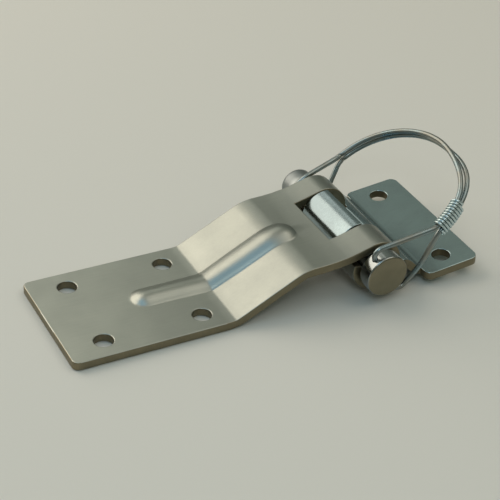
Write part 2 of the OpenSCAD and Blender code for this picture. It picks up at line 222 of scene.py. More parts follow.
class Finishes(bpy.types.PropertyGroup):
    """Colours of the finishes"""

    zinc: tint("Zinc", (0.47, 0.485, 0.43), "Plated face of the hasp leaf")
    # This dull tint colours the plating's duller patches and also the painted shade towards the pin
    zinc_dull_and_shade: tint("Zinc, dull", (0.335, 0.35, 0.32), "Duller patches of the plating")
    zinc_cool: tint("Zinc, cool", (0.52, 0.65, 0.67), "Plated face of the staple leaf")
    # Likewise for the staple leaf: duller patches and painted shade towards the pin
    zinc_cool_dull_and_shade: tint("Zinc, cool and dull", (0.265, 0.325, 0.345), "Duller patches there")
    # The sheared tint's dark olive is partly the edges' own skin and partly painted reflection and
    # painted shade
    sheared: tint("Sheared edge", (0.28, 0.245, 0.165), "Sheared edges of both leaves")
    bright: tint("Bright", (0.38, 0.41, 0.41), "Turned sides of the pin")
    # The head face's olive-brown tint is partly the faced end's own duller finish and partly a
    # painted reflection of olive-brown surroundings
    face: tint("Head face", (0.26, 0.235, 0.165), "Faced end of the head")
    wire: tint("Wire", (0.26, 0.33, 0.35), "Drawn wire of the bail")
    binding: tint("Binding", (0.54, 0.66, 0.69), "Wire of the binding")
    floor: tint("Floor", (0.72, 0.70, 0.65), "Floor")


# Modelling by hand


def deselect():
    if bpy.context.mode != "OBJECT":
        bpy.ops.object.mode_set(mode="OBJECT")
    bpy.ops.object.select_all(action="DESELECT")


def activate(piece):
    """Selects one piece alone, for the operators to act on."""
    deselect()
    piece.select_set(True)
    bpy.context.view_layer.objects.active = piece


def open_piece(name):
    """Names the object just added, sets its place into its mesh and opens it for editing."""
    piece = bpy.context.object
    piece.name = piece.data.name = name
    bpy.ops.object.transform_apply(location=True, rotation=True, scale=True)
    bpy.ops.object.mode_set(mode="EDIT")
    return piece


def pick(piece, kind, test):
    """Selects the parts of an open piece whose middle passes a test, and nothing else."""
    bpy.ops.mesh.select_mode(type=kind)
    bpy.ops.mesh.select_all(action="DESELECT")
    mesh = bmesh.from_edit_mesh(piece.data)
    parts = {"VERT": mesh.verts, "EDGE": mesh.edges, "FACE": mesh.faces}[kind]
    for part in parts:
        corners = [part] if kind == "VERT" else part.verts
        middle = sum((v.co for v in corners), Vector()) / len(corners)
        if test(middle):
            part.select_set(True)
    mesh.select_flush_mode()
    bmesh.update_edit_mesh(piece.data)


def close_piece(piece):
    """Merges doubles, turns the faces outwards and goes back to object mode."""
    bpy.ops.mesh.select_mode(type="VERT")
    bpy.ops.mesh.select_all(action="SELECT")
    bpy.ops.mesh.remove_doubles(threshold=DOUBLES)
    bpy.ops.mesh.normals_make_consistent(inside=False)
    bpy.ops.mesh.select_all(action="DESELECT")
    bpy.ops.object.mode_set(mode="OBJECT")


def apply_modifier(piece, kind, **settings):
    activate(piece)
    modifier = piece.modifiers.new(kind.title(), kind)
    for key, value in settings.items():
        setattr(modifier, key, value)
    bpy.ops.object.modifier_apply(modifier=modifier.name)


def cut(piece, cutter, operation="DIFFERENCE"):
    """Cuts a piece with another object, which is then removed."""
    apply_modifier(piece, "BOOLEAN", object=cutter, operation=operation, solver="EXACT")
    bpy.data.objects.remove(cutter)


def rod(name, radius, reach, place, turn=(0, 0, 0), sides=64):
    """A plain rod to drill with."""
    deselect()
    bpy.ops.mesh.primitive_cylinder_add(
        vertices=sides, radius=radius, depth=reach, location=place, rotation=turn
    )
    piece = open_piece(name)
    bpy.ops.object.mode_set(mode="OBJECT")
    return piece


def flatten_faces(piece, test, merge=0):
    """Joins neighbouring faces that lie in one plane, for clean rims.

    Points that are closer than a distance are merged as well, where it is given.
    """
    activate(piece)
    bpy.ops.object.mode_set(mode="EDIT")
    pick(piece, "FACE", test)
    bpy.ops.mesh.dissolve_limited(angle_limit=FLAT_WITHIN, delimit={"MATERIAL"})
    if merge:
        bpy.ops.mesh.select_mode(type="VERT")
        bpy.ops.mesh.select_all(action="SELECT")
        bpy.ops.mesh.remove_doubles(threshold=merge)
    bpy.ops.object.mode_set(mode="OBJECT")


def round_edges(piece, width, segments=3, above=65):
    """Rounds the edges sharper than an angle, and smooths the shading without bending the flats."""
    apply_modifier(
        piece,
        "BEVEL",
        width=width,
        segments=segments,
        limit_method="ANGLE",
        angle_limit=math.radians(above),
        use_clamp_overlap=False,
        material=-1,
        loop_slide=False,
    )
    activate(piece)
    bpy.ops.object.shade_smooth()
    apply_modifier(piece, "WEIGHTED_NORMAL", weight=60, keep_sharp=False)


def coat(piece, finish):
    """Gives the whole of a piece one finish."""
    piece.data.materials.clear()
    piece.data.materials.append(finish)


def settle(piece, body, node):
    """Puts a finished piece on its body in place of its solid."""
    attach(piece, body)
    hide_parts(node)


class Sheet:
    """A strip of plate that is run out and bent from its first edge, worked on its middle."""

    def __init__(self, name, x, z, heading, run, width):
        deselect()
        place = (x + run / 2 * math.cos(heading), 0, z + run / 2 * math.sin(heading))
        bpy.ops.mesh.primitive_plane_add(size=1, location=place, rotation=(0, -heading, 0))
        bpy.context.object.scale = (run, width, 1)
        self.piece = open_piece(name)
        self.s = 0
        self.stations = [(0, x, z, heading)]
        self.x, self.z, self.heading = x, z, heading
        self.advance(run)
        last = Vector((self.x, 0, self.z))
        pick(self.piece, "EDGE", lambda m: (m - last).length < TOUCH)

    def advance(self, run):
        self.s += run
        self.x += run * math.cos(self.heading)
        self.z += run * math.sin(self.heading)
        self.stations.append((self.s, self.x, self.z, self.heading))

    def run(self, total, steps):
        """Extrudes the last edge straight on."""
        for _ in range(steps):
            step = total / steps
            move = (step * math.cos(self.heading), 0, step * math.sin(self.heading))
            bpy.ops.mesh.extrude_region_move(TRANSFORM_OT_translate={"value": move})
            self.advance(step)

    def bend(self, turn, radius, steps):
        """Spins the last edge round a bend; a positive turn bends upwards from +X."""
        side = math.copysign(1, turn)
        cx = self.x - side * radius * math.sin(self.heading)
        cz = self.z + side * radius * math.cos(self.heading)
        bpy.ops.mesh.spin(steps=steps, angle=abs(turn), center=(cx, 0, cz), axis=(0, side, 0))
        for _ in range(steps):
            self.heading += turn / steps
            self.x = cx + side * radius * math.sin(self.heading)
            self.z = cz - side * radius * math.cos(self.heading)
            self.s += radius * abs(turn) / steps
            self.stations.append((self.s, self.x, self.z, self.heading))

    def divide(self, y):
        """Divides the strip along its whole length."""
        bpy.ops.mesh.select_mode(type="VERT")
        bpy.ops.mesh.select_all(action="SELECT")
        bpy.ops.mesh.bisect(plane_co=(0, y, 0), plane_no=(0, 1, 0))

    def trim(self, test):
        pick(self.piece, "FACE", test)
        bpy.ops.mesh.delete(type="FACE")

    def thicken(self, thickness):
        close_piece(self.piece)
        apply_modifier(
            self.piece, "SOLIDIFY", thickness=thickness, offset=0, use_even_offset=True
        )

    def station(self, co):
        """The nearest place on the strip's middle: distance along it, x, z and heading."""
        return min(self.stations, key=lambda p: (p[1] - co.x) ** 2 + (p[2] - co.z) ** 2)

    def finish(self, face, sheared):
        """Gives the plate its face finish, and the sheared one where a side stands across it."""
        self.piece.data.materials.append(face)
        self.piece.data.materials.append(sheared)
        for side in self.piece.data.polygons:
            *_, heading = self.station(side.center)
            flatness = side.normal.z * math.cos(heading) - side.normal.x * math.sin(heading)
            if abs(flatness) < SHEARED_BELOW:
                side.material_index = 1


def hasp_runs(sizes):
    """Lengths of the four straight runs that put the hasp's knuckles on the pin axis."""
    climb, deck, lead = sizes.slope, sizes.deck_slope, sizes.lead_slope
    lower_tan = sizes.crank_r * math.tan(climb / 2)
    upper_tan = sizes.crank_r * math.tan((climb - deck) / 2)
    lead_tan = sizes.lead_r * math.tan((lead - deck) / 2)
    top_x = HASP_LOW.x + sizes.flat + sizes.rise / math.tan(climb)
    across = AXIS_X - sizes.roll_r * math.sin(lead) - top_x
    up = AXIS_Z + sizes.roll_r * math.cos(lead) - sizes.plate / 2 - sizes.rise
    deck_reach = (across * math.sin(lead) - up * math.cos(lead)) / math.sin(lead - deck)
    lead_reach = (up * math.cos(deck) - across * math.sin(deck)) / math.sin(lead - deck)
    return (
        sizes.flat - lower_tan,
        sizes.rise / math.sin(climb) - lower_tan - upper_tan,
        deck_reach - upper_tan - lead_tan,
        lead_reach - lead_tan,
    )


def bead_height(sizes, s, y, inset):
    """Height of the pressed bead at the distance s along the plate: a ridge with round ends."""
    first = sizes.bead_start
    last = first + sizes.bead_length
    grown = (s - first) / sizes.bead_length * BEAD_GAIN_RATE - BEAD_GAIN_DELAY
    grown = min(1, max(0, grown))
    half = sizes.bead_half * (BEAD_NARROW + BEAD_GAIN * grown) - inset
    along = max(first + inset + half - s, s - last + inset + half, 0)
    t = math.hypot(along, y) / half
    return sizes.bead_rise * (1 - t**BEAD_CROWN) if t < 1 else 0.0


def crank_middle(sizes):
    """Distance along the plate to the middle of the crank."""
    return sizes.flat + sizes.rise / math.sin(sizes.slope) / 2


def crease_depth(sizes, s, heading):
    """How far a crease lies from the round of a bend, on the hollow side of the crank's bends."""
    low = 0 if s < crank_middle(sizes) else sizes.deck_slope
    off = min(heading - low, sizes.slope - heading)
    return CREASE_SHARP * (sizes.crank_r - sizes.plate / 2) * (1 / math.cos(off) - 1)


def press_plate(sheet, sizes, reach, last_x):
    """Sharpens the hollow side of the crank's bends and presses the bead, in a thickened plate.

    The bead's hollow below is narrower than its crown by the plate's bend.
    """
    middle = crank_middle(sizes)
    bpy.ops.object.mode_set(mode="EDIT")
    mesh = bmesh.from_edit_mesh(sheet.piece.data)
    for v in mesh.verts:
        s, x, z, heading = sheet.station(v.co)
        up = Vector((-math.sin(heading), 0, math.cos(heading)))
        above = (v.co - Vector((x, 0, z))).dot(up) > 0
        if v.co.x < last_x:
            low = sizes.deck_slope if s > middle else 0
            if above == (s < middle) and low < heading < sizes.slope:
                v.co += crease_depth(sizes, s, heading) * (-up if above else up)
            if abs(v.co.y) < reach:
                v.co += bead_height(sizes, s, v.co.y, 0 if above else sizes.plate / 2) * up
    bmesh.update_edit_mesh(sheet.piece.data)
    bpy.ops.object.mode_set(mode="OBJECT")


class HASP_OT_hasp_leaf(bpy.types.Operator):
    """Bends, presses, drills and rounds the long leaf"""

    bl_idname = "hasp.hasp_leaf"
    bl_label = "Hasp leaf"

    def execute(self, context):
        sizes = context.scene.hasp_sizes
        width = HASP_HIGH.y - HASP_LOW.y
        flat, ramp, deck, lead = hasp_runs(sizes)
        plain = sizes.bead_start - BEAD_LEAD
        sheet = Sheet("hasp_leaf_plate", HASP_LOW.x, sizes.plate / 2, 0, plain, width)
        sheet.run(flat - plain, steps=36)
        sheet.bend(sizes.slope, sizes.crank_r, steps=14)
        sheet.run(ramp, steps=36)
        sheet.bend(sizes.deck_slope - sizes.slope, sizes.crank_r, steps=12)
        sheet.run(deck, steps=14)
        window_x = AXIS_X - sizes.window_reach
        at_window = math.asin(math.sin(sheet.heading) + (window_x - sheet.x) / sizes.lead_r)
        sheet.bend(at_window - sizes.deck_slope, sizes.lead_r, steps=2)
        sheet.bend(sizes.lead_slope - at_window, sizes.lead_r, steps=9)
        sheet.run(lead, steps=2)
        sheet.bend(-sizes.roll, sizes.roll_r, steps=76)
        piece = sheet.piece
        band = sizes.bead_half * BEAD_BAND
        margin = band + BEAD_MARGIN
        rows = [band * k / BEAD_ROWS for k in range(-BEAD_ROWS, BEAD_ROWS + 1)]
        for y in rows + [-margin, margin]:
            sheet.divide(y)
        for side in (-0.5, 0.5):
            sheet.divide(sizes.window_off + side * sizes.window)
        sheet.trim(lambda m: m.x > window_x and abs(m.y - sizes.window_off) < sizes.window / 2)
        pick(
            piece,
            "VERT",
            lambda m: abs(m.x - HASP_LOW.x) < TOUCH and abs(m.y) > width / 2 - TOUCH,
        )
        bpy.ops.mesh.bevel(offset=sizes.corner, segments=8, affect="VERTICES")
        sheet.thicken(sizes.plate)
        press_plate(sheet, sizes, band, window_x - BEAD_CLEAR)
        low_crease = HASP_LOW.x + sizes.flat
        high_crease = low_crease + sizes.rise / math.tan(sizes.slope)
        flatten_faces(
            piece,
            lambda m: abs(m.y) > margin
            and min(abs(m.x - low_crease), abs(m.x - high_crease)) > CREASE_KEEP,
        )
        for x in (-0.5, 0.5):
            for y in (-0.5, 0.5):
                place = (
                    x * HASP_HOLES["spacing_x_mm"] / MM_PER_M,
                    y * HASP_HOLES["spacing_y_mm"] / MM_PER_M,
                    0,
                )
                cut(piece, rod("drill", HASP_HOLES["hole_r_mm"] / MM_PER_M, DRILL, place))
        colours = context.scene.hasp_finishes
        sheet.finish(
            plated(
                "zinc_plate",
                colours.zinc,
                colours.zinc_dull_and_shade,
                rough=0.37,
                # how strongly painted shade darkens the plate towards the pin
                pin_shade=0.55,
                free_x=HASP_LOW.x,
            ),
            sheared_edge("sheared_edge", colours.sheared),
        )
        round_edges(piece, sizes.edge)
        settle(piece, "hasp", "hasp_leaf")
        return {"FINISHED"}


def outline_prism(name, points, low, high):
    """A prism over an outline of (x, y, corner radius) points."""
    deselect()
    bpy.ops.mesh.primitive_circle_add(vertices=len(points), radius=1, fill_type="NGON")
    piece = open_piece(name)
    mesh = bmesh.from_edit_mesh(piece.data)
    mesh.verts.ensure_lookup_table()
    ring = sorted(mesh.verts, key=lambda v: math.atan2(v.co.y, v.co.x) % math.tau)
    for v, (x, y, _) in zip(ring, points):
        v.co = (x, y, low)
    bmesh.update_edit_mesh(piece.data)
    for radius in sorted({r for _, _, r in points if r}):
        corners = [Vector((x, y, low)) for x, y, r in points if r == radius]
        pick(piece, "VERT", lambda m: any((m - c).length < TOUCH for c in corners))
        steps = 8 if radius > LARGE_CORNER else 4
        bpy.ops.mesh.bevel(
            offset=radius, segments=steps, affect="VERTICES", offset_type="OFFSET"
        )
    bpy.ops.mesh.select_mode(type="FACE")
    bpy.ops.mesh.select_all(action="SELECT")
    bpy.ops.mesh.extrude_region_move(TRANSFORM_OT_translate={"value": (0, 0, high - low)})
    close_piece(piece)
    return piece


class HASP_OT_staple_leaf(bpy.types.Operator):
    """Bends, trims, drills and rounds the small leaf, level, and then lifts it as it rests"""

    bl_idname = "hasp.staple_leaf"
    bl_label = "Staple leaf"

    def execute(self, context):
        sizes = context.scene.staple_sizes
        plate = context.scene.hasp_sizes.plate
        roll_r = context.scene.hasp_sizes.roll_r
        tuck_slope = math.pi / 2 - sizes.tuck
        ridge_x = (
            roll_r * math.cos(sizes.tuck)
            + sizes.tuck_run * math.cos(tuck_slope)
            + sizes.ridge_r * math.sin(tuck_slope)
        )
        ridge_z = (
            sizes.tuck_run * math.sin(tuck_slope)
            - roll_r * math.sin(sizes.tuck)
            - sizes.ridge_r * math.cos(tuck_slope)
        )
        flat_z = plate / 2 - AXIS_Z
        drop = ridge_z + sizes.ridge_r * math.cos(sizes.slope) - flat_z
        slope_run = (drop - sizes.foot_r * (1 - math.cos(sizes.slope))) / math.sin(sizes.slope)
        flat_x = (
            ridge_x
            + (sizes.ridge_r + sizes.foot_r) * math.sin(sizes.slope)
            + slope_run * math.cos(sizes.slope)
        )
        far = sizes.reach
        strip = sizes.width + TRIM_SPARE
        sheet = Sheet("staple_leaf_plate", far, flat_z, math.pi, far - flat_x, strip)
        sheet.bend(-sizes.slope, sizes.foot_r, steps=3)
        sheet.run(slope_run, steps=2)
        sheet.bend(tuck_slope + sizes.slope, sizes.ridge_r, steps=5)
        sheet.run(sizes.tuck_run, steps=2)
        sheet.bend(-(math.tau - sizes.tuck - sizes.end), roll_r, steps=56)
        piece = sheet.piece
        sheet.thicken(plate)
        half, shoulder, tongue = sizes.width / 2, sizes.shoulder / 2, sizes.tongue / 2
        middle = context.scene.hasp_sizes.window_off
        sides = [
            [
                (far, side * half, sizes.corner),
                (sizes.wide, side * half, sizes.corner),
                (sizes.wide, side * shoulder, NOTCH_R),
                (sizes.shoulder_from, side * shoulder, SHOULDER_R),
                (sizes.shoulder_from, middle + side * tongue, THROAT_R),
                (-TRIM_REACH, middle + side * tongue, 0),
            ]
            for side in (1, -1)
        ]
        points = sides[0] + sides[1][::-1]
        cut(piece, outline_prism("outline", points, -TRIM_REACH, TRIM_REACH), "INTERSECT")
        flatten_faces(piece, lambda m: True, merge=TRIM_MERGE)
        spacing = STAPLE_HOLES["pcd_mm"] / 2 / MM_PER_M
        for y in (-spacing, spacing):
            place = (sizes.hole_reach, y, flat_z)
            cut(piece, rod("drill", STAPLE_HOLES["hole_r_mm"] / MM_PER_M, DRILL, place))
        colours = context.scene.hasp_finishes
        sheet.finish(
            plated(
                "zinc_plate_cool",
                colours.zinc_cool,
                colours.zinc_cool_dull_and_shade,
                rough=0.20,
                # how strongly painted shade darkens the plate towards the pin
                pin_shade=0.48,
                free_x=AXIS_X + COOL_BRIGHT_FROM,
            ),
            sheared_edge("sheared_edge_cool", colours.sheared),
        )
        round_edges(piece, sizes.edge)
        axis = Matrix.Translation((AXIS_X, 0, AXIS_Z))
        piece.data.transform(axis @ Matrix.Rotation(-LIFT, 4, "Y"))
        settle(piece, "staple", "staple_leaf")
        return {"FINISHED"}


class HASP_OT_locking_pin(bpy.types.Operator):
    """Turns the pin with its head and round tip, and drills the head across"""

    bl_idname = "hasp.locking_pin"
    bl_label = "Locking pin"

    def execute(self, context):
        sizes = context.scene.pin_sizes
        face, tip = PIN_LOW.y, PIN_HIGH.y
        back = face + sizes.head
        deselect()
        bpy.ops.mesh.primitive_cylinder_add(
            vertices=PIN_SIDES,
            radius=sizes.shank_r,
            depth=tip - back,
            location=(AXIS_X, (tip + back) / 2, AXIS_Z),
            rotation=(math.pi / 2, 0, 0),
        )
        piece = open_piece("locking_pin_turned")
        pick(piece, "FACE", lambda m: m.y < back + TOUCH)
        bpy.ops.mesh.extrude_region_move(TRANSFORM_OT_translate={"value": (0, 0, 0)})
        grow = sizes.head_r / sizes.shank_r
        bpy.ops.transform.resize(value=(grow, 1, grow), center_override=(AXIS_X, back, AXIS_Z))
        bpy.ops.mesh.extrude_region_move(TRANSFORM_OT_translate={"value": (0, -sizes.head, 0)})

        def rim(y, radius):
            def test(m):
                away = math.hypot(m.x - AXIS_X, m.z - AXIS_Z)
                return abs(m.y - y) < TOUCH and abs(away - radius) < RIM_WITHIN

            return test

        for y, radius, offset, steps in (
            (face, sizes.head_r, sizes.head_edge, 5),
            (back, sizes.head_r, HEAD_BACK_EDGE, 3),
            (tip, sizes.shank_r, sizes.tip_edge, 8),
        ):
            pick(piece, "EDGE", rim(y, radius))
            bpy.ops.mesh.bevel(offset=offset, segments=steps, affect="EDGES")
        close_piece(piece)
        across = Matrix.Rotation(sizes.lean + math.pi / 2, 3, "Y").to_euler()
        place = (AXIS_X, (face + back) / 2, AXIS_Z)
        cut(piece, rod("drill", sizes.wire_r + HOLE_PLAY, HOLE_DRILL, place, across, sides=32))
        round_edges(piece, HOLE_EDGE, segments=2, above=50)
        colours = context.scene.hasp_finishes
        coat(piece, turned("turned_zinc", colours.bright, colours.face, face, tip))
        settle(piece, "pin", "locking_pin")
        return {"FINISHED"}


def corner_arc(a, p, b, radius, steps):
    """The corner p between a and b, rounded."""
    u, v = (p - a).normalized(), (b - p).normalized()
    turn = u.angle(v)
    inward, along = (v - u).normalized(), (u + v).normalized()
    middle = p + inward * (radius / math.cos(turn / 2))
    angles = [turn * (i / steps - 0.5) for i in range(steps + 1)]
    return [middle + radius * (along * math.sin(f) - inward * math.cos(f)) for f in angles]


def arch_way(a):
    """The direction out of the arch's centre at the angle a from its foot on the head's side."""
    return Vector((0, -math.cos(a), math.sin(a)))


def arch_point(sizes, a, h):
    """A point of the arch at the angle a, h across the strands."""
    out = sizes.arch_r + (sizes.swell * math.sin(2 * a) ** 2 if a < math.pi / 2 else 0)
    return Vector((h, 0, sizes.arch_rise)) + out * arch_way(a)


def strand_point(sizes, a, side):
    """A point of one strand: past the binding one runs outside the arch and the other inside it."""
    part = (a - sizes.spread_from) / (sizes.spread_to - sizes.spread_from)
    apart = sizes.spread / 2 * math.sin(math.pi * part) ** 2 if 0 < part < 1 else 0
    return arch_point(sizes, a, side * sizes.strand) + side * apart * arch_way(a)


def bail_plane(sizes):
    """Sets the upright bail on the pin axis and leans it over."""
    return Matrix.Translation((AXIS_X, 0, AXIS_Z)) @ Matrix.Rotation(sizes.lean, 4, "Y")


def draw_wire(name, points, radius, place):
    """A wire along points, drawn as a bevelled curve and made a mesh."""
    deselect()
    bpy.ops.curve.primitive_bezier_curve_add()
    curve = bpy.context.object
    curve.name = name
    data = curve.data
    data.splines.clear()
    spline = data.splines.new("POLY")
    spline.points.add(len(points) - 1)
    for point, co in zip(spline.points, points):
        point.co = (*(place @ co), 1)
    data.dimensions = "3D"
    data.twist_mode = "MINIMUM"
    data.bevel_depth = radius
    data.bevel_resolution = 5
    data.use_fill_caps = True
    bpy.ops.object.convert(target="MESH")
    piece = bpy.context.object
    piece.data.name = name
    bpy.ops.object.shade_smooth_by_angle(angle=math.radians(50))
    return piece


class HASP_OT_wire_bail(bpy.types.Operator):
    """Draws the sprung wire from the head's hole over the arch, round the tail and back"""

    bl_idname = "hasp.wire_bail"
    bl_label = "Wire bail"

    def strand(self, sizes, side):
        """One strand, from its end in the head to the middle of the loop round the tail."""
        hole_y = PIN_LOW.y + sizes.head / 2
        end = Vector((side * (sizes.head_r - sizes.grip), hole_y, 0))
        turn = Vector((side * sizes.stand, hole_y, 0))
        joined = strand_point(sizes, JOIN, side)
        after = strand_point(sizes, JOIN + JOIN_AIM, side)
        foot = strand_point(sizes, math.pi, side)
        split = Vector((side * sizes.strand, sizes.arch_r, sizes.arch_rise - sizes.split))
        flank = Vector((side * sizes.loop_r, sizes.loop_y, sizes.loop_r / 2))
        below = Vector((side * sizes.loop_r, sizes.loop_y, -sizes.loop_r))
        points = [end]
        if side > 0:
            bow = (turn + joined) / 2 + Vector((sizes.bow, 0, 0))
            points += corner_arc(end, turn, bow, sizes.turn_r, steps=12)
            points += corner_arc(turn, bow, joined, BOW_R, steps=10)
            points += corner_arc(bow, joined, after, BLEND_R, steps=6)
        else:
            points += corner_arc(end, turn, joined, sizes.turn_r, steps=12)
            points += corner_arc(turn, joined, after, BLEND_R, steps=6)
        points += [
            strand_point(sizes, JOIN + (math.pi - JOIN) * i / ARCH_STEPS, side)
            for i in range(ARCH_FIRST, ARCH_STEPS + 1)
        ]
        points += corner_arc(foot, split, flank, BLEND_R, steps=6)
        points += corner_arc(split, flank, below, BLEND_R, steps=8)
        for i in range(LOOP_STEPS):
            a = math.pi / 2 * i / LOOP_STEPS
            across, down = sizes.loop_r * math.cos(a), sizes.loop_r * math.sin(a)
            points.append(Vector((side * across, sizes.loop_y, -down)))
        return points

    def execute(self, context):
        sizes = context.scene.pin_sizes
        bottom = Vector((0, sizes.loop_y, -sizes.loop_r))
        path = self.strand(sizes, 1) + [bottom] + self.strand(sizes, -1)[::-1]
        piece = draw_wire("wire_bail_drawn", path, sizes.wire_r, bail_plane(sizes))
        colours = context.scene.hasp_finishes
        coat(piece, drawn("drawn_wire", colours.wire, rough=0.26, worn=0.9))
        settle(piece, "bail", "wire_bail")
        return {"FINISHED"}


class HASP_OT_bail_binding(bpy.types.Operator):
    """Winds the thin wire round both strands near the head"""

    bl_idname = "hasp.bail_binding"
    bl_label = "Bail binding"

    def execute(self, context):
        sizes = context.scene.pin_sizes
        around = sizes.wire_r + sizes.bind_r + BIND_SLACK
        bow = math.pi * around
        lap = 2 * (2 * sizes.strand + bow)
        points = []
        for k in range(sizes.bind_turns * BIND_STEPS + 1):
            u = (k / BIND_STEPS) % 1
            half = 1 if u < 0.5 else -1
            d = (u % 0.5) * lap
            if d <= sizes.strand:
                h, w = d, around
            elif d <= sizes.strand + bow:
                f = (d - sizes.strand) / around
                h, w = sizes.strand + around * math.sin(f), around * math.cos(f)
            else:
                h, w = sizes.strand - (d - sizes.strand - bow), -around
            a = sizes.bind_from + k / BIND_STEPS * sizes.bind_pitch / sizes.arch_r
            points.append(arch_point(sizes, a, half * h) + half * w * arch_way(a))
        piece = draw_wire("bail_binding_wound", points, sizes.bind_r, bail_plane(sizes))
        colours = context.scene.hasp_finishes
        coat(piece, drawn("binding_wire", colours.binding, rough=0.22, worn=0.2))
        settle(piece, "bail", "bail_binding")
        return {"FINISHED"}


# Finishes


class Value:
    """A socket in a finish; arithmetic on it adds Math nodes."""

    def __init__(self, tree, socket):
        self.tree, self.socket = tree, socket

    def math(self, operation, a, b):
        node = self.tree.nodes.new("ShaderNodeMath")
        node.operation = operation
        for socket, value in zip(node.inputs, (a, b)):
            plug(self.tree, socket, value)
        return Value(self.tree, node.outputs[0])

    def __add__(self, other):
        return self.math("ADD", self, other)

    def __radd__(self, other):
        return self.math("ADD", other, self)

    def __mul__(self, other):
        return self.math("MULTIPLY", self, other)

    def __rmul__(self, other):
        return self.math("MULTIPLY", other, self)


def plug(tree, socket, value):
    """Links a value to a socket, or sets a number, vector or colour on it."""
    if isinstance(value, Value):
        tree.links.new(value.socket, socket)
    elif isinstance(value, tuple) and socket.type == "RGBA":
        socket.default_value = (*value, 1)
    else:
        socket.default_value = value


class Nodes:
    """The nodes of a material or of the world."""

    def __init__(self, owner):
        owner.use_nodes = True
        self.tree = owner.node_tree

    def feed(self, node, inputs):
        """Plugs values into the sockets that they are named for."""
        for key, value in inputs.items():
            name = key.replace("_", " ")
            socket = next(s for s in node.inputs if s.enabled and s.name.lower() == name)
            plug(self.tree, socket, value)

    def node(self, kind, settings=None, output=0, **inputs):
        """Adds a node, sets its settings first and then its sockets, and gives one output."""
        node = self.tree.nodes.new("ShaderNode" + kind)
        for key, value in (settings or {}).items():
            if key == "stops":
                ramp = node.color_ramp.elements
                while len(ramp) < len(value):
                    ramp.new(1)
                for stop, (place, colour) in zip(ramp, value):
                    stop.position, stop.color = place, (*colour, 1)
            else:
                setattr(node, key, value)
        self.feed(node, inputs)
        return Value(self.tree, node.outputs[output])


class Finish(Nodes):
    """A material with one shader, and the nodes that feed it."""

    def __init__(self, name):
        self.material = bpy.data.materials.new(name)
        super().__init__(self.material)
        self.shader = self.tree.nodes["Principled BSDF"]
        self.object = self.node("TexCoord", output="Object")

    def noise(self, scale, detail, stretch=(1, 1, 1)):
        place = self.node("Mapping", vector=self.object, scale=stretch)
        return self.node("TexNoise", vector=place, scale=scale, detail=detail)

    def spread(self, value, low, high):
        """Stretches the part of a value between low and high to 0 and 1."""
        return self.node(
            "MapRange", value=value, from_min=low, from_max=high, to_min=0.0, to_max=1.0
        )

    def mix(self, factor, a, b):
        """Mixes two colours."""
        return self.node("Mix", {"data_type": "RGBA"}, 2, factor=factor, a=a, b=b)

    def bump(self, height, strength, distance):
        return self.node(
            "Bump", height=height, strength=strength, distance=distance, output="Normal"
        )

    def set(self, **inputs):
        self.feed(self.shader, inputs)
        return self.material


def toned(tone, red, green=None, blue=None):
    """A colour with its channels turned up or down, all alike where one factor is given."""
    green, blue = green or red, blue or red
    return (red * tone[0], green * tone[1], blue * tone[2])


def plated(name, tone, dull, rough, pin_shade, free_x):
    """Satin zinc plate: soft mottling, faint rolling lines, a fine crystal grain.

    Painted shade darkens the plate from its free end towards the pin, so the free end is brightest.
    """
    finish = Finish(name)
    place = finish.node("SeparateXYZ", vector=finish.object, output="X")
    along = finish.spread(place, free_x, AXIS_X)
    mottle = finish.spread(finish.noise(scale=75, detail=4), 0.34, 0.68)
    cloud = finish.spread(finish.noise(scale=24, detail=2), 0.3, 0.7)
    lines = finish.noise(scale=1.0, detail=3, stretch=(60, 1500, 1500))
    grain = finish.noise(scale=2600, detail=2)
    # Mottle, cloud, lines and grain are the plate's own uneven tone; the last term is painted shade
    # towards the pin
    dullness_and_shade = mottle * 0.2 + cloud * 0.15 + lines * 0.35 + grain * 0.2 + along * pin_shade
    return finish.set(
        base_color=finish.mix(dullness_and_shade, tuple(tone), tuple(dull)),
        metallic=1.0,
        roughness=rough - 0.04 + 0.03 * mottle + 0.05 * lines,
        normal=finish.bump(lines * 0.55 + grain * 0.45, strength=0.12, distance=0.00012),
    )


def sheared_edge(name, tone):
    """Sheared edge of the plate: upright shear marks and a duller, rougher skin, whose dark olive
    tone is partly painted reflection and painted shade.
    """
    finish = Finish(name)
    marks = finish.noise(scale=1.0, detail=3, stretch=(2200, 2200, 160))
    patch = finish.spread(finish.noise(scale=160, detail=3), 0.3, 0.7)
    return finish.set(
        # The dark olive tone is partly painted reflection of dark surroundings and painted shade
        base_color=finish.mix(patch * 0.6 + marks * 0.3, tuple(tone), toned(tone, 0.72)),
        metallic=1.0,
        roughness=0.36 + 0.16 * marks,
        normal=finish.bump(marks, strength=0.25, distance=0.0001),
    )


def turned(name, tone, face_tone_and_reflection, face_y, tip_y):
    """Turned steel: fine rings on the sides, a duller faced end with a painted olive-brown
    reflection, and a dull, rubbed tail.
    """
    finish = Finish(name)
    place = finish.node("SeparateXYZ", vector=finish.object, output="Y")
    facing = finish.spread(place, *(face_y + depth for depth in FACE_SKIN))
    tail = finish.spread(place, *(tip_y - distance for distance in TAIL_WEAR))
    rings = finish.noise(scale=1.0, detail=2, stretch=(30, 3000, 30))
    patch = finish.spread(finish.noise(scale=140, detail=3), 0.3, 0.7)
    side = finish.mix(patch * 0.3 + tail * 0.7, tuple(tone), toned(tone, 0.62))
    # Faced end: its olive-brown tone is partly its own duller finish and partly a painted
    # reflection of olive-brown surroundings
    end = finish.mix(patch * 0.7, tuple(face_tone_and_reflection), toned(face_tone_and_reflection, 0.82))
    return finish.set(
        base_color=finish.mix(facing, side, end),
        metallic=1.0,
        roughness=0.16 + 0.05 * patch + 0.16 * facing + 0.26 * tail,
        normal=finish.bump(rings, strength=0.08, distance=0.0001),
    )


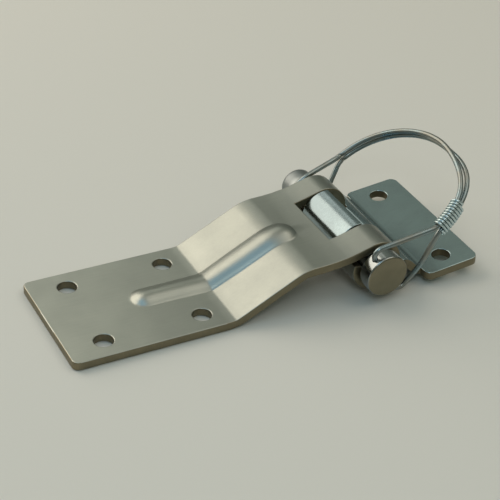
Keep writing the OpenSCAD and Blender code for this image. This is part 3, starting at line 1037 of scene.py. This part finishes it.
def drawn(name, tone, rough, worn):
    """Drawn wire: a cool grey with warmer, duller patches and fine scratches."""
    finish = Finish(name)
    patch = finish.spread(finish.noise(scale=110, detail=3), 0.36, 0.64)
    scratch = finish.noise(scale=3200, detail=2)
    return finish.set(
        base_color=finish.mix(patch * worn, tuple(tone), toned(tone, 1.1, 0.86, 0.72)),
        metallic=1.0,
        roughness=rough + 0.08 * patch,
        normal=finish.bump(scratch, strength=0.08, distance=0.0001),
    )


# Stage

# Light from all round, by the sine of its height over the floor: dim low down, brighter overhead
SKY = (
    (0.00, (0.14, 0.15, 0.13)),
    (0.30, (0.16, 0.18, 0.15)),
    (0.57, (0.23, 0.26, 0.22)),
    (0.72, (0.29, 0.31, 0.26)),
    (0.93, (0.33, 0.35, 0.31)),
    (1.00, (0.60, 0.60, 0.55)),
)
# Soft lamps: azimuth and height in degrees, distance and size in metres, colour, brightness
LAMPS = (
    ("key_softbox", 124, 33, 1.3, (1.12, 1.40), (1.0, 0.90, 0.78), 1.98),
    ("side_fill", 76, 38, 1.4, (0.42, 0.40), (1.0, 0.98, 0.90), 0.9),
    ("sky_softbox", 196, 64, 1.1, (0.90, 0.56), (0.02, 0.52, 1.0), 0.62),
    ("front_top", -10, 60, 1.3, (1.20, 0.80), (1.0, 0.91, 0.80), 0.9),
    ("left_front", 245, 48, 1.0, (0.30, 0.24), (0.82, 0.95, 1.0), 4.0),
    ("far_low", 93, 13, 1.4, (0.32, 0.32), (1.0, 0.95, 0.86), 1.3),
)
LAMP_AIM = Vector((0.06, 0, 0.02))
FLOOR_SIZE = 6
FLOOR_DROP = 0.0002  # the floor lies this far below the leaves
CAMERA_PLACE = (-0.20691, -0.44532, 0.37182)
CAMERA_TURN = (55.3365, -3.8311, -27.8387)  # degrees
CAMERA_LENS = 103.07  # millimetres
CAMERA_SENSOR = 36  # millimetres
CAMERA_NEAR = 0.01


class HASP_OT_stage(bpy.types.Operator):
    """Lays a pale floor, hangs the lights and sets the camera at the photograph's angle"""

    bl_idname = "hasp.stage"
    bl_label = "Stage"

    def lay_floor(self, tone):
        deselect()
        bpy.ops.mesh.primitive_plane_add(size=FLOOR_SIZE, location=(0, 0, -FLOOR_DROP))
        floor = bpy.context.object
        floor.name = "floor"
        bpy.ops.object.transform_apply(location=True)
        paper = Finish("floor_paper")
        fibre = paper.noise(scale=900, detail=2)
        floor.data.materials.append(
            paper.set(
                base_color=paper.mix(fibre * 0.3, tuple(tone), toned(tone, 0.96)),
                roughness=0.9,
                specular_ior_level=0.1,
            )
        )

    def hang_lamp(self, name, azimuth, height, reach, size, colour, brightness):
        """Hangs an area lamp that faces the object, set by how bright its face is."""
        a, e = math.radians(azimuth), math.radians(height)
        away = Vector((math.cos(a) * math.cos(e), math.sin(a) * math.cos(e), math.sin(e)))
        bpy.ops.object.light_add(type="AREA", location=LAMP_AIM + away * reach)
        lamp = bpy.context.object
        lamp.name = name
        lamp.rotation_euler = away.to_track_quat("Z", "Y").to_euler()
        lamp.data.shape = "RECTANGLE"
        lamp.data.size, lamp.data.size_y = size
        lamp.data.color = colour
        lamp.data.energy = brightness * math.pi * size[0] * size[1]

    def light_sky(self, scene):
        scene.world = bpy.data.worlds.new("studio")
        sky = Nodes(scene.world)
        place = sky.node("TexCoord", output="Generated")
        height = sky.node("SeparateXYZ", vector=place, output="Z")
        glow = sky.node("ValToRGB", {"stops": SKY}, fac=height)
        sky.feed(sky.tree.nodes["Background"], {"color": glow})

    def set_camera(self, scene):
        bpy.ops.object.camera_add(location=CAMERA_PLACE)
        camera = bpy.context.object
        camera.rotation_euler = [math.radians(d) for d in CAMERA_TURN]
        camera.data.sensor_width = CAMERA_SENSOR
        camera.data.lens = CAMERA_LENS
        camera.data.clip_start = CAMERA_NEAR
        scene.camera = camera

    def execute(self, context):
        self.lay_floor(context.scene.hasp_finishes.floor)
        for lamp in LAMPS:
            self.hang_lamp(*lamp)
        self.light_sky(context.scene)
        self.set_camera(context.scene)
        context.scene.view_settings.view_transform = "Standard"
        return {"FINISHED"}


class HASP_PT_pieces(bpy.types.Panel):
    """Lists the pieces and their sizes"""

    bl_label = "Hasp and staple"
    bl_idname = "HASP_PT_pieces"
    bl_space_type = "VIEW_3D"
    bl_region_type = "UI"
    bl_category = "Hasp"

    def draw(self, context):
        for operator in OPERATORS:
            self.layout.operator(operator.bl_idname)
        for name in GROUPS:
            group = getattr(context.scene, name)
            box = self.layout.box()
            for key in group.__annotations__:
                box.prop(group, key)


OPERATORS = (
    HASP_OT_stage,
    HASP_OT_hasp_leaf,
    HASP_OT_staple_leaf,
    HASP_OT_locking_pin,
    HASP_OT_wire_bail,
    HASP_OT_bail_binding,
)
GROUPS = {
    "hasp_sizes": HaspSizes,
    "staple_sizes": StapleSizes,
    "pin_sizes": PinSizes,
    "hasp_finishes": Finishes,
}


def register():
    for group in GROUPS.values():
        bpy.utils.register_class(group)
    for operator in OPERATORS:
        bpy.utils.register_class(operator)
    bpy.utils.register_class(HASP_PT_pieces)
    for name, group in GROUPS.items():
        setattr(bpy.types.Scene, name, bpy.props.PointerProperty(type=group))


def unregister():
    for name in GROUPS:
        delattr(bpy.types.Scene, name)
    bpy.utils.unregister_class(HASP_PT_pieces)
    for operator in reversed(OPERATORS):
        bpy.utils.unregister_class(operator)
    for group in reversed(GROUPS.values()):
        bpy.utils.unregister_class(group)


def main():
    register()
    bpy.ops.hasp.stage()
    bpy.ops.hasp.hasp_leaf()
    bpy.ops.hasp.staple_leaf()
    bpy.ops.hasp.locking_pin()
    bpy.ops.hasp.wire_bail()
    bpy.ops.hasp.bail_binding()
    deselect()


if __name__ == "__main__":
    main()
